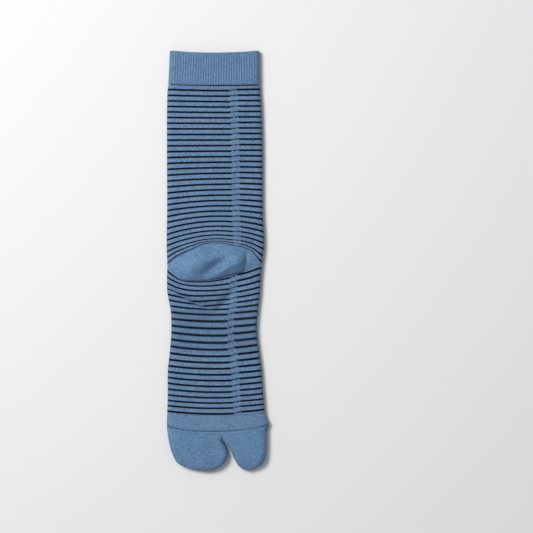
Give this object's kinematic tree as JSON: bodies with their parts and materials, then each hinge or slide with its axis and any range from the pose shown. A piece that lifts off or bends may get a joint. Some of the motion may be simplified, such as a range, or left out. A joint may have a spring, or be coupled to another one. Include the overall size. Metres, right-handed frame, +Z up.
{
  "type": "split-toe wool sock",
  "caption": "Striped split-toe crew sock in thick wool-blend knit, laid flat heel up, with ribbed cuff, heel pocket, ribbed arch and a separate big-toe pocket.",
  "frame": {"origin": "on the floor, under the middle of the sock's outline as it lies flat", "axes": "+Y along the sock from the toes to the cuff, +Z up from the instep side, which lies on the floor, to the heel side; +X towards the big toe"},
  "size_m": [0.0996, 0.4092, 0.0197],
  "materials": {
    "cuff_rib_knit": "fine 1x1 ribbed wool-blend knit, mid blue, matt",
    "leg_striped_knit": "plain stocking knit, mid blue with thin near-black navy stripes, matt",
    "heel_terry": "loop-backed terry knit, mid blue, matt and slightly fuzzy",
    "foot_striped_knit": "plain stocking knit, mid blue with thin near-black navy stripes, matt",
    "arch_rib_knit": "ribbed elastic knit, mid blue with thin near-black navy stripes, matt",
    "toe_band_knit": "plain stocking knit, mid blue, matt",
    "toe_terry": "loop-backed terry knit, mid blue, matt and slightly fuzzy"
  },
  "bodies": {
    "root": {"cuff": "cuff_rib_knit", "leg": "leg_striped_knit", "heel_pocket": "heel_terry", "rear_foot": "foot_striped_knit", "arch_band": "arch_rib_knit", "forefoot": "foot_striped_knit", "toe_band": "toe_band_knit", "toe_base": "toe_terry", "small_toes_pocket": "toe_terry", "big_toe_pocket": "toe_terry"}
  },
  "joints": []
}
